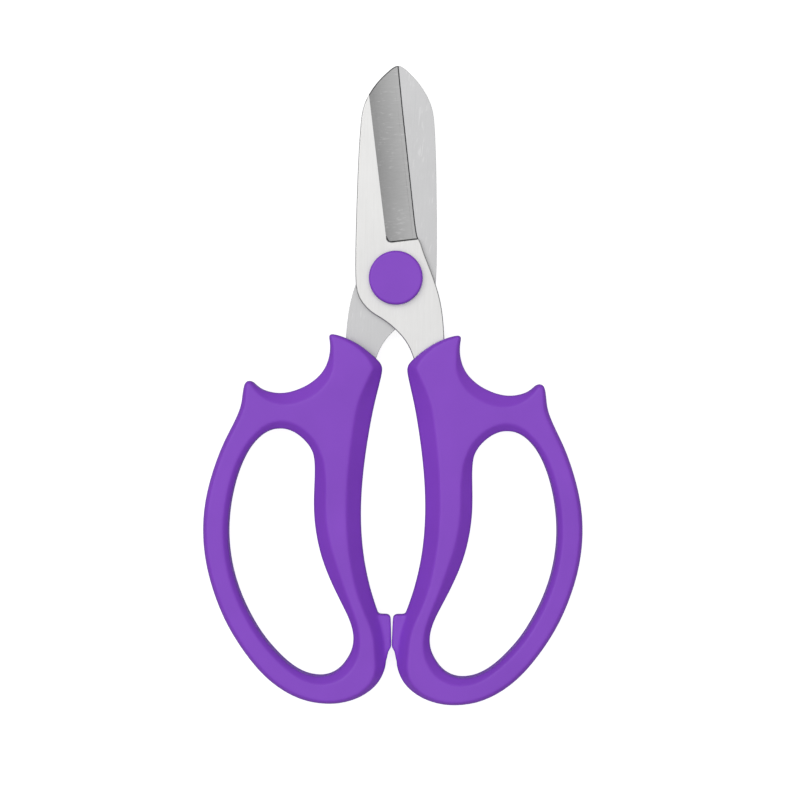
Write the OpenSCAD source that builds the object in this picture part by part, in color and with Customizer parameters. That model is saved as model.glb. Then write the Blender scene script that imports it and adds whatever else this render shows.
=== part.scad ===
// Floral scissors: two stamped blades with moulded handles, turning on a covered shoulder bolt.
// Millimetres. The origin lies on the pivot's axis, in the plane that the closed scissors rest on.
// +Y runs to the blades' tips and +Z up through the front cap.
// The rear half is the front half turned half way round the Y axis, so both are drawn once.

/* [Handles] */
// Thickness of the handles, and of the whole closed scissors
handle_t = 12; // [11.6:0.1:14]
// Height of the stop tabs
tab_h = 5; // [3:0.5:8]
// Gap between the stop tabs where they come closest
tab_gap = 0.1; // [0.1:0.02:0.4]

/* [Blades] */
// Thickness of each blade
blade_t = 2.2; // [1.6:0.1:2.3]
// Gap between the two blades
blade_gap = 0.1; // [0.06:0.02:0.2]
// Thickness left along the cutting edge
edge_t = 0.35; // [0.2:0.05:0.8]
// Width of the hollow-ground band
grind_w = 8.7; // [7:0.1:9.5]
// Radius of the grinding wheel
wheel_r = 34; // [25:1:80]
// Radius of the larger locking hole in the tang
lock_hole_r = 1.7; // [1:0.1:2]

/* [Pivot] */
// Radius of the round caps
cap_r = 7.6; // [7:0.1:8.5]
// Rounding of the caps' outer rim
cap_round = 0.9; // [0.4:0.1:1]
// Radius of the bolt's shoulder
shoulder_r = 3; // [2.6:0.1:3.2]
// Radius of the bolt's threaded end
thread_r = 2; // [1.5:0.1:2.2]
// Running clearance of the rear blade on the shoulder
run_fit = 0.05; // [0.02:0.01:0.1]
// Radius of the bolt's head
head_r = 4.6; // [4:0.1:5]
// Thickness of the bolt's head
head_t = 1.7; // [1.2:0.1:1.8]
// Thickness of the plain washers
washer_t = 0.5; // [0.4:0.05:0.6]
// Outer radius of the washers
washer_r = 5.6; // [5.2:0.1:5.8]

/* [Hidden] */
$fn = 96;

mid_z = handle_t / 2;
front_z = mid_z + blade_gap / 2;
front_top = front_z + blade_t;
rear_z = mid_z - blade_gap / 2 - blade_t;
overlap = 1;
arc_steps = 3;

// Pivot heights: the rear pieces stand one gap below the rear blade, which turns
pivot_gap = 0.1;
shoulder_end = rear_z - pivot_gap;
spring_t = 0.3;
spring_rise = 0.2;
rear_washer_z = shoulder_end - washer_t;
spring_z = rear_washer_z - spring_t - spring_rise;
nut_t = 1.6;
nut_z = spring_z - nut_t;
head_z = front_top + washer_t;
slot_w = 1.2;
slot_d = 0.8;
snug_fit = 0.02;
cap_room = 0.1;

// Colours
plastic_colour = [0.46, 0.22, 0.72];
steel_colour = [0.84, 0.84, 0.85];
hardware_colour = [0.62, 0.63, 0.65];

// ---- Curves ----
// A closed line is given by control points. Each one bends the line once, and a point given twice
// makes a sharp corner. The points may carry more than x and y, which then change as smoothly.
function arc_point(a, b, c, t) =
    (a + b) / 2 * pow(1 - t, 2) + 2 * b * t * (1 - t) + (b + c) / 2 * pow(t, 2);
function bent(points, steps) =
    let (n = len(points))
    [for (i = [0:n - 1]) for (k = [0:steps - 1])
        arc_point(points[(i + n - 1) % n], points[i], points[(i + 1) % n], k / steps)];
function column(rows, c) = [for (row = rows) row[c]];

// ---- Blade ----
// Outline from the tip along the spine, round the tang's end and back along the cutting edge
spine_outline = [
    [-0.8, 60], [-2.6, 58.7], [-6.6, 54.6], [-9.9, 48.6], [-10.6, 41.6], [-11.1, 30]
];
tang_outline = [
    [-11.45, 14], [-11.5, 1], [-11, -5], [-7.6, -9.4], [-3.2, -11.8], [0.4, -14.7], [3.3, -18],
    [5.2, -22], [6.8, -28], [8.6, -36], [11.2, -47], [12, -50.5], [15.4, -50.5], [15.7, -46],
    [15.3, -36], [14.5, -26], [13.9, -16.5], [13.3, -9.4], [12, -3.6], [9.6, 2.9], [7.7, 7.4],
    [7, 9.9], [6.1, 11.3]
];
edge_outline = [[5.65, 13], [4.95, 18], [3.45, 31], [1.6, 46], [0.05, 60], [0.05, 60]];
blade_outline = concat(spine_outline, tang_outline, edge_outline);
lock_holes = [[11.1, -31, lock_hole_r], [13.2, -42.5, lock_hole_r * 0.8]];

// The hollow grind is the mark of a wheel that runs along the cutting edge, up from the heel
heel = [5.75, 12.4];
edge_turn = 7.5;
chord = [grind_w, blade_t - edge_t];
wheel_off = sqrt(pow(wheel_r, 2) - pow(norm(chord) / 2, 2)) / norm(chord);
wheel_x = -chord[0] / 2 + chord[1] * wheel_off;
wheel_z = front_z + edge_t + chord[1] / 2 + chord[0] * wheel_off;
grind_start = -1.35;
grind_area = [
    [-grind_w - 4, 70], [-grind_w - 4, 70], [-grind_w - 4, 0.9], [-grind_w - 4, 0.9],
    [-grind_w, 0.9], [-grind_w + 0.35, grind_start], [-grind_w + 2.6, grind_start],
    [4, grind_start], [4, grind_start], [4, 70], [4, 70]
];

module blade_plate() {
    translate([0, 0, front_z]) linear_extrude(blade_t) polygon(bent(blade_outline, arc_steps));
}

module lock_hole_cuts() {
    for (hole = lock_holes) {
        translate([hole[0], hole[1], front_z - overlap])
            cylinder(r = hole[2], h = blade_t + 2 * overlap);
    }
}

module hollow_grind() {
    translate([heel[0], heel[1], 0]) rotate([0, 0, edge_turn]) intersection() {
        translate([wheel_x, -10, wheel_z]) rotate([-90, 0, 0]) cylinder(r = wheel_r, h = 80);
        linear_extrude(handle_t) polygon(bent(grind_area, arc_steps + 2));
    }
}

module blade(bore_r) {
    color(steel_colour) difference() {
        blade_plate();
        hollow_grind();
        lock_hole_cuts();
        translate([0, 0, front_z - overlap]) cylinder(r = bore_r, h = blade_t + 2 * overlap);
    }
}

// ---- Handle ----
// Each row crosses the handle from its outline to the finger hole. The first and the last entry are
// [x, y, width of the sloping edge, drop of the sloping edge], and the middle one is [x, y] on the flat.
handle_rows = [
    // centre side, from the top corner down past the stop tab
    [[3.3, -25.2, 2.5, 2.8], [11.4, -32.6], [22.5, -50.6, 2.4, 2.3]],
    [[4.1, -29.1, 3.4, 3.6], [12.4, -36.4], [22.25, -52.6, 2.8, 2.6]],
    [[5.8, -36, 4.8, 3.9], [13.6, -42.5], [22.2, -55.2, 3.1, 2.8]],
    [[7.3, -44.5, 4.6, 3.9], [14.4, -50], [22.3, -58.6, 3.5, 3]],
    [[8.5, -53.5, 4.4, 3.9], [16, -57], [22.4, -62.2, 3.5, 3]],
    [[9.15, -62.5, 4.2, 3.9], [16.4, -64], [22.35, -66.2, 3.5, 3]],
    [[9.05, -71, 4.1, 3.9], [16, -71], [21.85, -71.2, 3.5, 3]],
    [[8.2, -79, 4, 3.9], [15, -78], [20.6, -77.2, 3.5, 3]],
    [[6.6, -86.5, 4, 3.9], [13.4, -84.5], [18.8, -82.4, 3.5, 3]],
    [[4.8, -92.2, 3.7, 3.9], [11, -89.4], [16.7, -87.1, 3, 2.8]],
    [[3, -97, 3.3, 3.8], [8.8, -94.2], [14.3, -91.8, 2.4, 2.5]],
    [[1.9, -101.5, 3.2, 3.8], [7.1, -98.5], [12.1, -96, 1.9, 2.2]],
    [[1.5, -106, 3.3, 3.8], [6.3, -102.9], [10.7, -100.2, 1.7, 2]],
    // bottom of the loop
    [[1.5, -110, 3, 3.5], [6.4, -107.1], [10.8, -104.4, 2.1, 2.1]],
    [[3.6, -114.6, 1.9, 2.6], [8.1, -111.1], [12.4, -107.8, 2.6, 2.3]],
    [[8, -118.1, 1.2, 1.8], [11.9, -114.4], [14.6, -110.6, 2.6, 2.2]],
    [[13.5, -120, 0.9, 1.4], [15.8, -116], [17.6, -112.3, 2.3, 2]],
    [[19, -120.3, 0.8, 1.3], [20.2, -116.4], [20.9, -112.6, 2.1, 1.9]],
    [[25, -119.3, 1, 1.4], [25, -115.5], [24.6, -111.8, 1.8, 1.7]],
    [[31, -116.4, 1, 1.4], [29.8, -113], [28.3, -109.7, 1.4, 1.5]],
    // outer bow
    [[36.7, -111.8, 1, 1.4], [34.3, -109], [32, -106.4, 1.4, 1.5]],
    [[42.2, -105, 1, 1.4], [39.2, -103.3], [36.2, -101.7, 1.4, 1.5]],
    [[46.8, -97.6, 1, 1.4], [43.3, -96.8], [39.8, -96, 1.4, 1.5]],
    [[50.2, -89.6, 1, 1.4], [46.6, -89.5], [43, -89.4, 1.4, 1.5]],
    [[52.6, -81.2, 1, 1.4], [49, -81.5], [45.4, -81.8, 1.4, 1.5]],
    [[53.6, -72.8, 1, 1.4], [50.1, -73.1], [46.5, -73.5, 1.4, 1.5]],
    [[53.2, -64.6, 1, 1.4], [49.8, -65.2], [46.2, -66, 1.4, 1.5]],
    [[51.4, -56.4, 1, 1.4], [48.2, -57.5], [44.9, -58.7, 1.4, 1.5]],
    [[48.4, -47.8, 1, 1.4], [45.8, -50.2], [42.9, -52.6, 1.4, 1.5]],
    [[44.9, -41, 1, 1.4], [43, -44.4], [40.6, -48.2, 1.4, 1.5]],
    // spur
    [[43.1, -36.6, 1.2, 1.5], [41, -40.6], [38.2, -45.4, 1.4, 1.5]],
    [[42.7, -32.4, 0.8, 1.2], [39.8, -38], [36.2, -43.9, 1.7, 1.7]],
    [[42.1, -29.6, 0.6, 1], [38.6, -37.2], [34.6, -43.2, 1.9, 1.8]],
    [[40.3, -29.3, 0.6, 1], [37.2, -37], [33.4, -42.9, 2, 1.9]],
    [[38.5, -31.3, 1.2, 1.4], [35.4, -37.2], [32, -42.8, 2.2, 2]],
    // finger rest
    [[35.5, -32.6, 2.4, 1.9], [33.2, -37.6], [30.6, -42.9, 2.2, 2]],
    [[31.5, -33, 3.4, 2.3], [30.4, -38], [29.2, -43.3, 2.2, 2]],
    [[27.3, -31.9, 3.7, 2.5], [27.6, -38], [27.9, -43.9, 2.2, 2]],
    [[23.3, -29.8, 3.6, 2.4], [24.6, -37.4], [26.7, -44.7, 2.2, 2]],
    [[20, -26.6, 2.8, 2.2], [18.7, -36.2], [25.6, -45.6, 2.2, 2]],
    [[18.4, -22.6, 1.3, 1.5], [14.6, -33.6], [24.7, -46.5, 2.2, 2]],
    [[18.2, -18.7, 0.7, 1.1], [13.2, -31.6], [24.05, -47.3, 2.2, 2]],
    // top corner and the edge that the tang enters
    [[18.9, -16, 0.5, 0.9], [12.4, -30.7], [23.6, -47.95, 2.2, 2]],
    [[17.2, -16, 0.5, 0.9], [11.9, -30.3], [23.3, -48.5, 2.2, 2]],
    [[13.6, -17.1, 0.7, 1.1], [11.4, -30.3], [23.05, -49, 2.2, 2]],
    [[9.7, -19.1, 1, 1.3], [11.1, -30.9], [22.85, -49.4, 2.2, 2]],
    [[6.3, -21.8, 1.6, 1.8], [11.1, -30.9], [22.7, -49.8, 2.2, 2]],
    [[4.6, -23.4, 2.4, 2.4], [11.2, -31.4], [22.6, -50.2, 2.2, 2]]
];
outer_edge = bent(column(handle_rows, 0), arc_steps);
flat_line = bent(column(handle_rows, 1), arc_steps);
hole_edge = bent(column(handle_rows, 2), arc_steps);
ring_n = len(outer_edge);

// The point that lies a slope's width inside the material, on the given side of the line
function inset(line, i, side) =
    let (
        n = len(line),
        a = line[(i + n - 1) % n],
        b = line[(i + 1) % n],
        run = [b[0] - a[0], b[1] - a[1]] / norm([b[0] - a[0], b[1] - a[1]])
    )
    [line[i][0] - side * run[1] * line[i][2], line[i][1] + side * run[0] * line[i][2]];

// Rings of the handle's skin, from the flat's middle out over the edge, round and back
function ring_at(line, z) = [for (p = line) [p[0], p[1], z]];
function inset_ring(line, side, z) =
    [for (i = [0:len(line) - 1]) let (p = inset(line, i, side)) [p[0], p[1], z]];
function drop_ring(line, up) =
    [for (p = line) [p[0], p[1], up > 0 ? handle_t - p[3] : p[3]]];
handle_rings = [
    ring_at(flat_line, handle_t),
    inset_ring(outer_edge, 1, handle_t),
    drop_ring(outer_edge, 1),
    drop_ring(outer_edge, -1),
    inset_ring(outer_edge, 1, 0),
    ring_at(flat_line, 0),
    inset_ring(hole_edge, -1, 0),
    drop_ring(hole_edge, -1),
    drop_ring(hole_edge, 1),
    inset_ring(hole_edge, -1, handle_t)
];

module ring_skin(rings) {
    count = len(rings);
    n = len(rings[0]);
    polyhedron(
        points = [for (ring = rings) for (p = ring) p],
        faces = [for (r = [0:count - 1]) for (i = [0:n - 1]) for (half = [0, 1])
            let (
                a = r * n + i,
                b = r * n + (i + 1) % n,
                c = ((r + 1) % count) * n + (i + 1) % n,
                d = ((r + 1) % count) * n + i
            )
            half == 0 ? [a, b, c] : [a, c, d]]
    );
}

tab_outline = [
    [5, -94.9], [1.1, -94.9], [0.45, -95.4], [tab_gap / 2 + 0.25, -96.3], [tab_gap / 2, -103.2],
    [tab_gap / 2, -104.2], [0.85, -105.3], [1.3, -107.6], [5, -107.6]
];

module stop_tab() {
    translate([0, 0, mid_z - tab_h / 2]) linear_extrude(tab_h) polygon(tab_outline);
}

module tang_cavity() {
    difference() {
        blade_plate();
        lock_hole_cuts();
    }
}

module handle() {
    color(plastic_colour) difference() {
        union() {
            ring_skin(handle_rings);
            stop_tab();
        }
        tang_cavity();
    }
}

// ---- Pivot ----
module washer() {
    color(hardware_colour) difference() {
        cylinder(r = washer_r, h = washer_t);
        translate([0, 0, -overlap]) cylinder(r = shoulder_r + run_fit, h = washer_t + 2 * overlap);
    }
}

// A cap stands on z = 0, open downwards. It clears the washer, then grips the head or the nut
module cap(height, grip_h) {
    rim = [for (k = [0:6]) [cap_r - cap_round * (1 - cos(k * 15)), height - cap_round * (1 - sin(k * 15))]];
    hollow_top = washer_t + grip_h + cap_room;
    color(plastic_colour) difference() {
        rotate_extrude() polygon(concat([[0, 0], [cap_r, 0]], rim, [[0, height]]));
        translate([0, 0, -overlap]) cylinder(r = washer_r + cap_room, h = overlap + washer_t + cap_room);
        cylinder(r = head_r + run_fit, h = hollow_top);
    }
}

module half_turn() {
    translate([0, 0, handle_t]) rotate([0, 180, 0]) children();
}

module front_blade() {
    blade(shoulder_r + snug_fit);
}

module rear_blade() {
    half_turn() blade(shoulder_r + run_fit);
}

module right_handle() {
    handle();
}

module left_handle() {
    half_turn() handle();
}

module pivot_bolt() {
    color(hardware_colour) difference() {
        union() {
            translate([0, 0, nut_z]) cylinder(r = thread_r, h = shoulder_end - nut_z + overlap);
            translate([0, 0, shoulder_end]) cylinder(r = shoulder_r, h = head_z - shoulder_end);
            translate([0, 0, head_z]) cylinder(r = head_r, h = head_t);
        }
        translate([-head_r - overlap, -slot_w / 2, head_z + head_t - slot_d])
            cube([2 * (head_r + overlap), slot_w, slot_d + overlap]);
    }
}

module pivot_nut() {
    color(hardware_colour) translate([0, 0, nut_z]) difference() {
        cylinder(r = head_r, h = nut_t, $fn = 6);
        translate([0, 0, -overlap]) cylinder(r = thread_r + snug_fit, h = nut_t + 2 * overlap);
    }
}

module front_washer() {
    translate([0, 0, front_top]) washer();
}

module rear_washer() {
    color(hardware_colour) translate([0, 0, rear_washer_z]) difference() {
        cylinder(r = washer_r, h = washer_t);
        translate([0, 0, -overlap]) cylinder(r = thread_r + run_fit, h = washer_t + 2 * overlap);
    }
}

module spring_washer() {
    inner = thread_r + run_fit;
    outer = head_r - 0.2;
    color(hardware_colour) translate([0, 0, spring_z]) rotate_extrude()
        polygon([[inner, 0], [outer, spring_rise], [outer, spring_rise + spring_t], [inner, spring_t]]);
}

module front_cap() {
    translate([0, 0, front_top]) cap(handle_t - front_top, head_t);
}

module rear_cap() {
    translate([0, 0, shoulder_end]) rotate([180, 0, 0]) cap(shoulder_end, spring_rise + spring_t + nut_t);
}

front_blade();
rear_blade();
right_handle();
left_handle();
pivot_bolt();
pivot_nut();
front_washer();
rear_washer();
spring_washer();
front_cap();
rear_cap();
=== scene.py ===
import math

import bmesh
import bpy
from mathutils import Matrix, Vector


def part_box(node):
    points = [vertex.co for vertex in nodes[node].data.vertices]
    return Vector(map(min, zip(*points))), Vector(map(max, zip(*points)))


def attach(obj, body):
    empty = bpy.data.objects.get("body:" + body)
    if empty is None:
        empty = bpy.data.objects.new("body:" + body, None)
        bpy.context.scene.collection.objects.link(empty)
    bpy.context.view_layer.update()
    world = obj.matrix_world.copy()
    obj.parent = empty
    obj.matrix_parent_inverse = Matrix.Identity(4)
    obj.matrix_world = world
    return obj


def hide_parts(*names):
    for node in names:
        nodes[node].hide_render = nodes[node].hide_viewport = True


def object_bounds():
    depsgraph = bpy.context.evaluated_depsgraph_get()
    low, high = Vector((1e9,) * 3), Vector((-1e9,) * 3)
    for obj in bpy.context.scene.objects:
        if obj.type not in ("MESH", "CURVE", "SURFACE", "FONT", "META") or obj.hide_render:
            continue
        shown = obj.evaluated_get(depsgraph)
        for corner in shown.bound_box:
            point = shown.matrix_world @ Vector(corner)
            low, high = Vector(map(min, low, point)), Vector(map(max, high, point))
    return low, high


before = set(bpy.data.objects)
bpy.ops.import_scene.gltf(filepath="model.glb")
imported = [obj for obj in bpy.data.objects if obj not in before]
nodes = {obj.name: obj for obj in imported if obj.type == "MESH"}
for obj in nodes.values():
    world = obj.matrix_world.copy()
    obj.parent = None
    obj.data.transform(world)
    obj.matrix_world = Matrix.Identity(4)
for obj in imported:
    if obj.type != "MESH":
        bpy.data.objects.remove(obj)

scene = bpy.context.scene
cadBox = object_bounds()
mm = 0.001


# node tree helpers
def addNode(tree, kind, place, **values):
    node = tree.nodes.new(kind)
    node.location = place
    for key, value in values.items():
        setattr(node, key, value)
    return node


def newGroup(name, inputs, outputs):
    group = bpy.data.node_groups.new(name, "ShaderNodeTree")
    for label, kind, value in inputs:
        socket = group.interface.new_socket(label, in_out="INPUT", socket_type="NodeSocket" + kind)
        if value is not None:
            socket.default_value = value
    for label, kind in outputs:
        group.interface.new_socket(label, in_out="OUTPUT", socket_type="NodeSocket" + kind)
    start = addNode(group, "NodeGroupInput", (-900, 0))
    end = addNode(group, "NodeGroupOutput", (900, 0))
    return group, start, end


def placeGroup(tree, group, place, **values):
    node = addNode(tree, "ShaderNodeGroup", place, node_tree=group)
    for label, value in values.items():
        node.inputs[label].default_value = value
    return node


def newMaterial(name):
    material = bpy.data.materials.new(name)
    material.use_nodes = True
    tree = material.node_tree
    shader = tree.nodes["Principled BSDF"]
    coords = addNode(tree, "ShaderNodeTexCoord", (-1200, 0))
    return material, tree, shader, coords.outputs["Object"]


# effects that several materials share
surface = {
    "lineHeight": 0.02 * mm,
    "grainHeight": 0.05 * mm,
    "noiseSpan": (0.3, 0.7),        # the part of a noise's range that counts
    "strokeSpan": (0.57, 0.72),
    "patchSpan": (0.42, 0.62),
    "strokeColour": (0.9, 0.9, 0.9),
    "lineShare": 0.6,               # how much of the tone the lines give, and the clouds the rest
}


def addNoise(tree, source, scale, detail, place):
    noise = addNode(tree, "ShaderNodeTexNoise", place)
    noise.inputs["Detail"].default_value = detail
    tree.links.new(source, noise.inputs["Vector"])
    tree.links.new(scale, noise.inputs["Scale"])
    return noise


def addBump(tree, height, depth, distance, place):
    bump = addNode(tree, "ShaderNodeBump", place)
    bump.inputs["Distance"].default_value = distance
    tree.links.new(depth, bump.inputs["Strength"])
    tree.links.new(height, bump.inputs["Height"])
    return bump.outputs["Normal"]


def smoothStep(tree, source, span, place):
    step = addNode(tree, "ShaderNodeMapRange", place, interpolation_type="SMOOTHSTEP")
    step.inputs["From Min"].default_value, step.inputs["From Max"].default_value = span
    tree.links.new(source, step.inputs["Value"])
    return step


def stretchedAlong(tree, start):
    # turns the place about Z and stretches it, so that a noise is drawn out into lines
    turn = addNode(tree, "ShaderNodeVectorRotate", (-700, 100), rotation_type="Z_AXIS")
    tree.links.new(start.outputs["Vector"], turn.inputs["Vector"])
    tree.links.new(start.outputs["Turn"], turn.inputs["Angle"])
    stretch = addNode(tree, "ShaderNodeCombineXYZ", (-700, -120))
    stretch.inputs["X"].default_value = 1
    stretch.inputs["Z"].default_value = 1
    tree.links.new(start.outputs["Stretch"], stretch.inputs["Y"])
    squeeze = addNode(tree, "ShaderNodeVectorMath", (-500, 60), operation="MULTIPLY")
    tree.links.new(turn.outputs["Vector"], squeeze.inputs[0])
    tree.links.new(stretch.outputs["Vector"], squeeze.inputs[1])
    return squeeze.outputs["Vector"]


def makeBrushedGroup():
    # fine parallel lines left by a grinding belt, in two sizes, with a slow change of tone
    group, start, end = newGroup(
        "brushedLines",
        [("Vector", "Vector", None), ("Turn", "Float", 0.0), ("Line Scale", "Float", 4000.0),
         ("Stretch", "Float", 0.03), ("Depth", "Float", 0.1), ("Cloud Scale", "Float", 90.0)],
        [("Lines", "Float"), ("Cloud", "Float"), ("Normal", "Vector")],
    )
    along = stretchedAlong(group, start)
    fine = addNoise(group, along, start.outputs["Line Scale"], 5, (-280, 160))
    fine.inputs["Roughness"].default_value = 0.65
    cloud = addNoise(group, start.outputs["Vector"], start.outputs["Cloud Scale"], 3, (-280, -160))
    lines = fine.outputs["Fac"]
    normal = addBump(group, lines, start.outputs["Depth"], surface["lineHeight"], (300, 60))
    group.links.new(lines, end.inputs["Lines"])
    group.links.new(cloud.outputs["Fac"], end.inputs["Cloud"])
    group.links.new(normal, end.inputs["Normal"])
    return group


def makeMouldedGroup():
    # the even, fine texture of a moulding tool, with a slow change of tone
    group, start, end = newGroup(
        "mouldedSkin",
        [("Vector", "Vector", None), ("Grain Scale", "Float", 2600.0), ("Depth", "Float", 0.12),
         ("Cloud Scale", "Float", 60.0)],
        [("Grain", "Float"), ("Cloud", "Float"), ("Normal", "Vector")],
    )
    grain = addNoise(group, start.outputs["Vector"], start.outputs["Grain Scale"], 2, (-400, 140))
    cloud = addNoise(group, start.outputs["Vector"], start.outputs["Cloud Scale"], 2, (-400, -140))
    texture = grain.outputs["Fac"]
    normal = addBump(group, texture, start.outputs["Depth"], surface["grainHeight"], (200, 60))
    group.links.new(texture, end.inputs["Grain"])
    group.links.new(cloud.outputs["Fac"], end.inputs["Cloud"])
    group.links.new(normal, end.inputs["Normal"])
    return group


def makeStrokesGroup():
    # short bright strokes in loose patches, as a grinding wheel leaves them
    group, start, end = newGroup(
        "wheelStrokes",
        [("Vector", "Vector", None), ("Turn", "Float", 0.0), ("Stroke Scale", "Float", 2400.0),
         ("Stretch", "Float", 0.12), ("Patch Scale", "Float", 220.0), ("Amount", "Float", 1.0)],
        [("Mask", "Float")],
    )
    along = stretchedAlong(group, start)
    stroke = addNoise(group, along, start.outputs["Stroke Scale"], 1, (-280, 160))
    stroke.inputs["Distortion"].default_value = 0.3
    patch = addNoise(group, start.outputs["Vector"], start.outputs["Patch Scale"], 2, (-280, -160))
    sharp = smoothStep(group, stroke.outputs["Fac"], surface["strokeSpan"], (0, 160))
    loose = smoothStep(group, patch.outputs["Fac"], surface["patchSpan"], (0, -160))
    both = addNode(group, "ShaderNodeMath", (250, 0), operation="MULTIPLY")
    group.links.new(sharp.outputs["Result"], both.inputs[0])
    group.links.new(loose.outputs["Result"], both.inputs[1])
    share = addNode(group, "ShaderNodeMath", (450, 0), operation="MULTIPLY", use_clamp=True)
    group.links.new(both.outputs[0], share.inputs[0])
    group.links.new(start.outputs["Amount"], share.inputs[1])
    group.links.new(share.outputs[0], end.inputs["Mask"])
    return group


brushedLines = makeBrushedGroup()
wheelStrokes = makeStrokesGroup()
mouldedSkin = makeMouldedGroup()


def rangeOf(tree, source, low, high, place):
    # turns the middle of a noise's range into low to high
    ramp = addNode(tree, "ShaderNodeMapRange", place)
    ramp.inputs["From Min"].default_value, ramp.inputs["From Max"].default_value = surface["noiseSpan"]
    ramp.inputs["To Min"].default_value = low
    ramp.inputs["To Max"].default_value = high
    tree.links.new(source, ramp.inputs["Value"])
    return ramp.outputs["Result"]


def mixColours(tree, factor, first, second, place):
    mix = addNode(tree, "ShaderNodeMix", place, data_type="RGBA")
    mix.inputs["A"].default_value = (*first, 1)
    mix.inputs["B"].default_value = (*second, 1)
    tree.links.new(factor, mix.inputs["Factor"])
    return mix.outputs["Result"]


# turn is the way that the lines run, in radians, and strokes is how strongly the wheel's marks show
steel = {
    "outer": {
        "dark": (0.635, 0.632, 0.626), "light": (0.705, 0.702, 0.696), "rough": (0.30, 0.36),
        "turn": 0.0, "lines": 2600, "stretch": 0.02, "depth": 0.10, "strokes": 0.10, "strokeTurn": 0.0,
    },
    "inner": {
        "dark": (0.495, 0.495, 0.50), "light": (0.555, 0.555, 0.56), "rough": (0.34, 0.42),
        "turn": 0.05, "lines": 2200, "stretch": 0.03, "depth": 0.14, "strokes": 0.15, "strokeTurn": 0.1,
    },
    "grind": {
        "dark": (0.39, 0.39, 0.39), "light": (0.48, 0.48, 0.48), "rough": (0.36, 0.44),
        "turn": 1.47, "lines": 2400, "stretch": 0.04, "depth": 0.20, "strokes": 0.20, "strokeTurn": 1.50,
    },
    "edge": {
        "dark": (0.36, 0.36, 0.37), "light": (0.44, 0.44, 0.45), "rough": (0.40, 0.55),
        "turn": 0.0, "lines": 1500, "stretch": 0.2, "depth": 0.2, "strokes": 0.2, "strokeTurn": 0.0,
    },
    # the cutting bevel's near-black steel is painted shade: it stands for the shadow and dark reflection
    # along the cutting edge, and is darker than the steel itself
    "cut": {
        "dark": (0.10, 0.10, 0.105), "light": (0.15, 0.15, 0.155), "rough": (0.40, 0.50),
        "turn": 0.0, "lines": 1500, "stretch": 0.2, "depth": 0.2, "strokes": 0.1, "strokeTurn": 1.5,
    },
    "plated": {
        "dark": (0.52, 0.53, 0.55), "light": (0.62, 0.63, 0.64), "rough": (0.28, 0.4),
        "turn": 0.0, "lines": 1800, "stretch": 1.0, "depth": 0.08, "strokes": 0.15, "strokeTurn": 0.6,
    },
    "spring": {
        "dark": (0.20, 0.20, 0.22), "light": (0.28, 0.28, 0.30), "rough": (0.35, 0.5),
        "turn": 0.0, "lines": 1800, "stretch": 1.0, "depth": 0.1, "strokes": 0.1, "strokeTurn": 0.6,
    },
}


def makeSteel(name, finish):
    material, tree, shader, coords = newMaterial(name)
    lines = placeGroup(tree, brushedLines, (-900, 0), Turn=finish["turn"], Stretch=finish["stretch"],
                       Depth=finish["depth"], **{"Line Scale": finish["lines"]})
    tree.links.new(coords, lines.inputs["Vector"])
    strokes = placeGroup(tree, wheelStrokes, (-900, 300), Turn=finish["strokeTurn"],
                         Amount=finish["strokes"])
    tree.links.new(coords, strokes.inputs["Vector"])
    blend = addNode(tree, "ShaderNodeMath", (-650, 120), operation="MULTIPLY_ADD")
    blend.inputs[1].default_value = surface["lineShare"]
    tree.links.new(lines.outputs["Lines"], blend.inputs[0])
    share = addNode(tree, "ShaderNodeMath", (-650, -60), operation="MULTIPLY")
    share.inputs[1].default_value = 1 - surface["lineShare"]
    tree.links.new(lines.outputs["Cloud"], share.inputs[0])
    tree.links.new(share.outputs[0], blend.inputs[2])
    tone = rangeOf(tree, blend.outputs[0], 0, 1, (-450, 200))
    colour = mixColours(tree, tone, finish["dark"], finish["light"], (-450, 420))
    bright = addNode(tree, "ShaderNodeMix", (-250, 300), data_type="RGBA")
    bright.inputs["B"].default_value = (*surface["strokeColour"], 1)
    tree.links.new(strokes.outputs["Mask"], bright.inputs["Factor"])
    tree.links.new(colour, bright.inputs["A"])
    tree.links.new(bright.outputs["Result"], shader.inputs["Base Color"])
    rough = rangeOf(tree, lines.outputs["Lines"], *finish["rough"], (-250, -60))
    tree.links.new(rough, shader.inputs["Roughness"])
    tree.links.new(lines.outputs["Normal"], shader.inputs["Normal"])
    shader.inputs["Metallic"].default_value = 1
    return material


steelOuter = makeSteel("steelOuterFace", steel["outer"])
steelInner = makeSteel("steelInnerFace", steel["inner"])
steelGrind = makeSteel("steelHollowGrind", steel["grind"])
steelEdge = makeSteel("steelStampedEdge", steel["edge"])
# this material carries painted shade, a near-black line along the cutting edge
steelCutPaintedShade = makeSteel("steelCuttingBevelPaintedShade", steel["cut"])
platedSteel = makeSteel("platedSteel", steel["plated"])
springSteel = makeSteel("springSteel", steel["spring"])


plastic = {
    "dark": (0.300, 0.072, 0.73),
    "light": (0.326, 0.080, 0.78),
    "rough": (0.36, 0.46),
    "shine": 0.35,
    "depth": 0.10,
    "handleGrain": 2400.0,
    "capGrain": 3000.0,
}


def makePlastic(name, grain):
    material, tree, shader, coords = newMaterial(name)
    skin = placeGroup(tree, mouldedSkin, (-900, 0), Depth=plastic["depth"], **{"Grain Scale": grain})
    tree.links.new(coords, skin.inputs["Vector"])
    tone = rangeOf(tree, skin.outputs["Cloud"], 0, 1, (-500, 200))
    colour = mixColours(tree, tone, plastic["dark"], plastic["light"], (-250, 200))
    tree.links.new(colour, shader.inputs["Base Color"])
    rough = rangeOf(tree, skin.outputs["Grain"], *plastic["rough"], (-250, -60))
    tree.links.new(rough, shader.inputs["Roughness"])
    tree.links.new(skin.outputs["Normal"], shader.inputs["Normal"])
    shader.inputs["Specular IOR Level"].default_value = plastic["shine"]
    return material


handlePlastic = makePlastic("handlePlastic", plastic["handleGrain"])
capPlastic = makePlastic("capPlastic", plastic["capGrain"])
print("materials ready")


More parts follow.
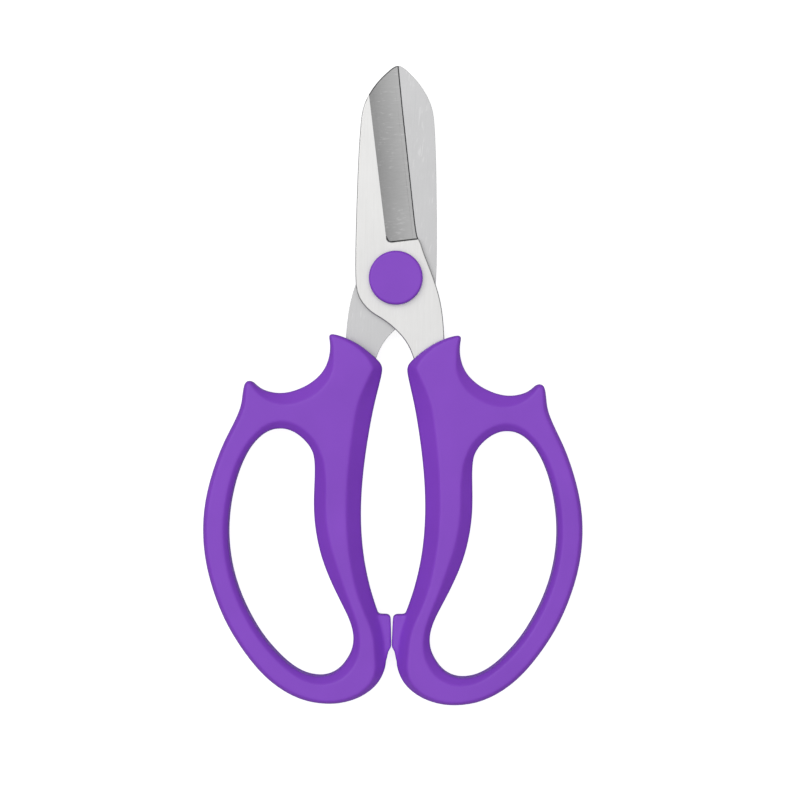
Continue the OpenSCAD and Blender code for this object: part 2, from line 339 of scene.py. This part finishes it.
# mesh helpers
mesh = {
    "weld": 0.002 * mm,     # points of a node nearer than this are one
    "fine": 0.001 * mm,     # the same for a piece that is made or cut here
}


def mergedCopy(nodeName):
    bm = bmesh.new()
    bm.from_mesh(nodes[nodeName].data)
    bmesh.ops.remove_doubles(bm, verts=bm.verts, dist=mesh["weld"])
    return bm


def pieceFrom(bm, name, materials, sharpAngle=None):
    data = bpy.data.meshes.new(name)
    bm.to_mesh(data)
    bm.free()
    for material in materials:
        data.materials.append(material)
    data.shade_smooth()
    if sharpAngle is not None:
        data.set_sharp_from_angle(angle=sharpAngle)
    piece = bpy.data.objects.new(name, data)
    scene.collection.objects.link(piece)
    return piece


def standsFor(piece, nodeName, body):
    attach(piece, body)
    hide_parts(nodeName)
    return piece


def applyModifiers(piece):
    graph = bpy.context.evaluated_depsgraph_get()
    shaped = bpy.data.meshes.new_from_object(piece.evaluated_get(graph))
    piece.modifiers.clear()
    old = piece.data
    piece.data = shaped
    bpy.data.meshes.remove(old)


handle = {
    "voxel": 0.40 * mm,     # grid that the moulding is rebuilt on
    "soften": 5,            # smoothing passes, which round the edges
    "pull": 0.5,            # how far each pass moves a point
    "seamRise": 0.07 * mm,  # the parting line, half way up the sides
    "seamWidth": 0.45 * mm,
    "seamClear": 1.5 * mm,  # none where the stop tabs meet
    "seamTilt": 0.3,        # it runs only where the side is steeper than this
}


def makeHandle(nodeName, pieceName, body):
    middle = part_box(nodeName)[1].z / 2
    piece = pieceFrom(mergedCopy(nodeName), pieceName, [handlePlastic])
    remesh = piece.modifiers.new("moulding", "REMESH")
    remesh.mode = "VOXEL"
    remesh.voxel_size = handle["voxel"]
    remesh.use_smooth_shade = True
    applyModifiers(piece)
    bm = bmesh.new()
    bm.from_mesh(piece.data)
    for _ in range(handle["soften"]):
        bmesh.ops.smooth_vert(bm, verts=bm.verts, factor=handle["pull"],
                              use_axis_x=True, use_axis_y=True, use_axis_z=True)
    bm.normal_update()
    for vert in bm.verts:
        near = abs(vert.co.z - middle) / handle["seamWidth"]
        steep = abs(vert.normal.z) < handle["seamTilt"]
        if near < 1 and steep and abs(vert.co.x) > handle["seamClear"]:
            vert.co += vert.normal * handle["seamRise"] * (1 - near)
    bm.to_mesh(piece.data)
    bm.free()
    piece.data.shade_smooth()
    piece.data.name = pieceName
    return standsFor(piece, nodeName, body)


rightHandle = makeHandle("right_handle", "rightHandle", "front_half")
leftHandle = makeHandle("left_handle", "leftHandle", "rear_half")
print("handles ready", len(rightHandle.data.polygons))


blade = {
    "rim": 0.28 * mm,           # width of the eased edge round the outer face
    "innerRim": 0.08 * mm,
    "cut": 0.30 * mm,           # width of the bevel along the cutting edge
    "bore": 4 * mm,             # the edges of the pivot's hole, inside this, stay sharp
    "flatJoin": math.radians(0.3),
    "sharp": math.radians(28),
    "steep": 0.85,              # a face nearer level than this isn't a side
    "level": 1 - 1e-6,
    "skin": 0.0004 * mm,        # how far under the outer face the hollow grind starts
    "shortest": 0.0005 * mm,    # an edge shorter than this is closed up
    "sliver": 1e-6 * mm * mm,   # a face smaller than this is joined to its neighbour
}
hollow = {
    "wheel": 34 * mm,           # radius of the grinding wheel
    "width": 8.7 * mm,
    "land": 0.35 * mm,          # thickness left along the cutting edge
    "heel": (5.75 * mm, 12.4 * mm),
    "lean": math.radians(7.5),  # turn of the cutting edge from straight up
    "strips": 24,
}
bladeSteels = [steelOuter, steelInner, steelGrind, steelEdge, steelCutPaintedShade]
outerFace, innerFace, grindFace, sideFace, cutFace = range(len(bladeSteels))


def bevelBetween(bm, one, other, width, segments):
    # bevels the edges where a face of one steel meets a face of the other
    found = []
    for edge in bm.edges:
        kinds = sorted(face.material_index for face in edge.link_faces)
        inBore = edge.verts[0].co.xy.length < blade["bore"]
        if kinds == [one, other] and not inBore:
            found.append(edge)
    return bmesh.ops.bevel(bm, geom=found, offset=width, segments=segments, profile=0.5,
                           affect="EDGES", material=-1, clamp_overlap=False)["faces"]


def smoothHollow(bm, outerZ, outward, thickness):
    # cuts the hollow grind into narrow strips and lays them on the wheel's own curve
    across = Vector((outward * math.cos(hollow["lean"]), math.sin(hollow["lean"]), 0))
    heel = Vector((outward * hollow["heel"][0], hollow["heel"][1], 0))
    fall = thickness - hollow["land"]
    reach = math.hypot(hollow["width"], fall)
    lift = math.sqrt(hollow["wheel"] ** 2 - (reach / 2) ** 2) / reach
    axisAcross = -hollow["width"] / 2 + fall * lift
    axisRise = hollow["width"] * lift - fall / 2
    for k in range(1, hollow["strips"]):
        faces = [face for face in bm.faces if face.material_index == grindFace]
        edges = {edge for face in faces for edge in face.edges}
        verts = {vert for face in faces for vert in face.verts}
        bmesh.ops.bisect_plane(bm, geom=[*verts, *edges, *faces], dist=mesh["fine"], plane_no=across,
                               plane_co=heel - across * (k / hollow["strips"] * hollow["width"]))
    for vert in {vert for face in bm.faces if face.material_index == grindFace for vert in face.verts}:
        depth = (outerZ - vert.co.z) * outward
        if depth > blade["skin"]:
            away = (vert.co - heel).dot(across) - axisAcross
            vert.co.z = outerZ - outward * (math.sqrt(hollow["wheel"] ** 2 - away ** 2) - axisRise)
    bm.normal_update()


def makeBlade(nodeName, pieceName, body, outward):
    # outward is 1 for the blade whose outer face is up, and -1 for its turned-over twin
    low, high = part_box(nodeName)
    outerZ = high.z if outward > 0 else low.z
    bm = mergedCopy(nodeName)
    bmesh.ops.dissolve_limit(bm, angle_limit=blade["flatJoin"], verts=bm.verts, edges=bm.edges)
    bm.normal_update()
    for face in bm.faces:
        facing = face.normal.z * outward
        depth = (outerZ - face.calc_center_median().z) * outward
        if facing < -blade["steep"]:
            face.material_index = innerFace
        elif facing < blade["steep"]:
            face.material_index = sideFace
        elif depth < blade["skin"]:
            face.material_index = outerFace
        else:
            face.material_index = grindFace
    smoothHollow(bm, outerZ, outward, high.z - low.z)
    # the bevel along the cutting edge takes the near-black steel, a painted shade line
    for face in bevelBetween(bm, grindFace, sideFace, blade["cut"], 1):
        face.material_index = cutFace
    bevelBetween(bm, outerFace, sideFace, blade["rim"], 3)
    bevelBetween(bm, innerFace, sideFace, blade["innerRim"], 2)
    bmesh.ops.dissolve_degenerate(bm, dist=blade["shortest"], edges=bm.edges)
    slivers = [face for face in bm.faces if face.calc_area() < blade["sliver"]]
    longest = {max(face.edges, key=lambda edge: edge.calc_length()) for face in slivers}
    bmesh.ops.dissolve_edges(bm, edges=list(longest), use_verts=False)
    piece = pieceFrom(bm, pieceName, bladeSteels, blade["sharp"])
    for face in piece.data.polygons:
        level = abs(face.normal.z) > blade["level"]
        face.use_smooth = not level and face.material_index != grindFace
    return standsFor(piece, nodeName, body)


frontBlade = makeBlade("front_blade", "frontBlade", "front_half", 1)
rearBlade = makeBlade("rear_blade", "rearBlade", "rear_half", -1)
print("blades ready")


cap = {
    "ring": 6.85 * mm,          # where the top is highest, before it rounds over
    "dish": 0.06 * mm,          # how far the middle of the top lies below that
    "dishEdge": 1.2 * mm,       # the dish rises over this width inside the ring
    "brow": (0.35 * mm, 0.02 * mm),     # one point of that rise, in from the ring and down
    "roundDrop": 0.9 * mm,      # height of the rounded rim
    "roundSteps": 8,
    "foot": 0.12 * mm,          # bevel round the open end
    "gripRadius": 4.65 * mm,    # the hole that grips the bolt's head or the nut
    "roomRadius": 5.7 * mm,     # the wider room at the open end, for the washers
    "roomDepth": 0.6 * mm,
    "steps": 128,
    "sharp": math.radians(35),
}


def makeCap(nodeName, pieceName, up, gripDepth):
    # up is 1 for the front cap and -1 for the rear one, which faces down
    low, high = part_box(nodeName)
    outerZ, innerZ = (high.z, low.z) if up > 0 else (low.z, high.z)
    radius = high.x
    ring, foot = cap["ring"], cap["foot"]
    browIn, browDrop = cap["brow"]
    profile = [
        (0, outerZ - up * cap["dish"]),
        (ring - cap["dishEdge"], outerZ - up * cap["dish"]),
        (ring - browIn, outerZ - up * browDrop),
        (ring, outerZ),
    ]
    for k in range(1, cap["roundSteps"] + 1):
        turn = k / cap["roundSteps"] * math.pi / 2
        drop = cap["roundDrop"] * (1 - math.cos(turn))
        profile.append((ring + (radius - ring) * math.sin(turn), outerZ - up * drop))
    profile += [
        (radius, innerZ + up * foot),
        (radius - foot, innerZ),
        (cap["roomRadius"], innerZ),
        (cap["roomRadius"], innerZ + up * cap["roomDepth"]),
        (cap["gripRadius"], innerZ + up * cap["roomDepth"]),
        (cap["gripRadius"], innerZ + up * gripDepth),
        (0, innerZ + up * gripDepth),
    ]
    bm = bmesh.new()
    verts = [bm.verts.new((x, 0, z)) for x, z in profile]
    edges = [bm.edges.new(pair) for pair in zip(verts, verts[1:])]
    bmesh.ops.spin(bm, geom=verts + edges, cent=(0, 0, 0), axis=(0, 0, 1), angle=math.tau,
                   steps=cap["steps"], use_merge=True)
    bmesh.ops.remove_doubles(bm, verts=bm.verts, dist=mesh["fine"])
    bmesh.ops.recalc_face_normals(bm, faces=bm.faces)
    piece = pieceFrom(bm, pieceName, [capPlastic], cap["sharp"])
    return standsFor(piece, nodeName, "front_half")


def dress(nodeName, material):
    # a node whose shape is right keeps it and gets its real finish
    nodes[nodeName].data.materials.clear()
    nodes[nodeName].data.materials.append(material)


frontCap = makeCap("front_cap", "frontCap", 1, 2.3 * mm)
rearCap = makeCap("rear_cap", "rearCap", -1, 2.7 * mm)
for nodeName in ["pivot_bolt", "pivot_nut", "front_washer", "rear_washer"]:
    dress(nodeName, platedSteel)
dress("spring_washer", springSteel)
print("pivot ready")


studio = {
    "floorSize": 6.0,
    "floorDrop": 0.05 * mm,     # the paper lies this far under the scissors
    "floorColour": (0.55, 0.55, 0.55),
    "floorMottle": 0.995,
    "floorGlow": 0.85,          # lifts the paper to white for the camera only
    "floorGrain": 700.0,
    "floorCloud": 3.0,
    "floorDepth": 0.05,
    "floorRough": 0.9,
    "boxSize": 0.6,
    "boxPlace": (-0.42, 0.3, 0.8),
    "boxPower": 1.8,
    "zenith": 1.12,             # light from the sky overhead and along the horizon
    "horizon": 0.13,
    "skySpan": (0.5, 1.0),      # it rises from one to the other between these heights
    "gleam": 0.36,              # least light that a reflection finds, so low views show bright steel
    "lens": 150,
    "sensor": 36,
    "frameWidth": 225.7 * mm,   # width of the picture at the height of the sharp plane
    "frameCentre": (1.59 * mm, -34.4 * mm),
    "sharpPlane": 8 * mm,
    "roll": 0.0118,
    "farClip": 20,
}


def makeFloor():
    bm = bmesh.new()
    bmesh.ops.create_grid(bm, x_segments=2, y_segments=2, size=studio["floorSize"] / 2)
    bmesh.ops.translate(bm, verts=bm.verts, vec=(0, 0, cadBox[0].z - studio["floorDrop"]))
    material, tree, shader, coords = newMaterial("paperFloor")
    skin = placeGroup(tree, mouldedSkin, (-900, 0), Depth=studio["floorDepth"],
                      **{"Grain Scale": studio["floorGrain"], "Cloud Scale": studio["floorCloud"]})
    tree.links.new(coords, skin.inputs["Vector"])
    pale = studio["floorColour"]
    tone = rangeOf(tree, skin.outputs["Cloud"], 0, 1, (-500, 200))
    mottled = tuple(part * studio["floorMottle"] for part in pale)
    colour = mixColours(tree, tone, mottled, pale, (-250, 200))
    tree.links.new(colour, shader.inputs["Base Color"])
    shader.inputs["Roughness"].default_value = studio["floorRough"]
    shader.inputs["Specular IOR Level"].default_value = 0
    shader.inputs["Emission Color"].default_value = (1, 1, 1, 1)
    path = addNode(tree, "ShaderNodeLightPath", (-450, -300))
    glow = addNode(tree, "ShaderNodeMath", (-250, -300), operation="MULTIPLY")
    glow.inputs[1].default_value = studio["floorGlow"]
    tree.links.new(path.outputs["Is Camera Ray"], glow.inputs[0])
    tree.links.new(glow.outputs[0], shader.inputs["Emission Strength"])
    pieceFrom(bm, "paperFloor", [material])


def makeSoftBox():
    lamp = bpy.data.lights.new("softBox", "AREA")
    lamp.shape = "SQUARE"
    lamp.size = studio["boxSize"]
    lamp.energy = studio["boxPower"]
    softBox = bpy.data.objects.new("softBox", lamp)
    softBox.location = studio["boxPlace"]
    softBox.rotation_euler = Vector(studio["boxPlace"]).to_track_quat("Z", "Y").to_euler()
    scene.collection.objects.link(softBox)


def makeSky():
    world = bpy.data.worlds.new("studioRoom")
    world.use_nodes = True
    tree = world.node_tree
    tree.nodes["Background"].inputs["Color"].default_value = (1, 1, 1, 1)
    coords = addNode(tree, "ShaderNodeTexCoord", (-900, 0))
    parts = addNode(tree, "ShaderNodeSeparateXYZ", (-700, 0))
    tree.links.new(coords.outputs["Generated"], parts.inputs["Vector"])
    rise = smoothStep(tree, parts.outputs["Z"], studio["skySpan"], (-450, 0))
    rise.inputs["To Min"].default_value = studio["horizon"]
    rise.inputs["To Max"].default_value = studio["zenith"]
    path = addNode(tree, "ShaderNodeLightPath", (-450, -300))
    seen = addNode(tree, "ShaderNodeMath", (-200, 0), operation="MAXIMUM")  # white behind the object
    tree.links.new(rise.outputs["Result"], seen.inputs[0])
    tree.links.new(path.outputs["Is Camera Ray"], seen.inputs[1])
    gleam = addNode(tree, "ShaderNodeMath", (-200, -300), operation="MULTIPLY")
    gleam.inputs[1].default_value = studio["gleam"]
    tree.links.new(path.outputs["Is Glossy Ray"], gleam.inputs[0])
    strength = addNode(tree, "ShaderNodeMath", (0, 0), operation="MAXIMUM")
    tree.links.new(seen.outputs[0], strength.inputs[0])
    tree.links.new(gleam.outputs[0], strength.inputs[1])
    tree.links.new(strength.outputs[0], tree.nodes["Background"].inputs["Strength"])
    scene.world = world


def makeCamera():
    data = bpy.data.cameras.new("camera")
    data.lens = studio["lens"]
    data.sensor_width = studio["sensor"]
    distance = studio["frameWidth"] * data.lens / data.sensor_width
    camera = bpy.data.objects.new("camera", data)
    camera.location = (*studio["frameCentre"], studio["sharpPlane"] + distance)
    camera.rotation_euler = (0, 0, studio["roll"])
    data.clip_end = studio["farClip"]
    scene.collection.objects.link(camera)
    scene.camera = camera


makeFloor()
makeSoftBox()
makeSky()
makeCamera()
scene.view_settings.view_transform = "Standard"
print("studio ready")
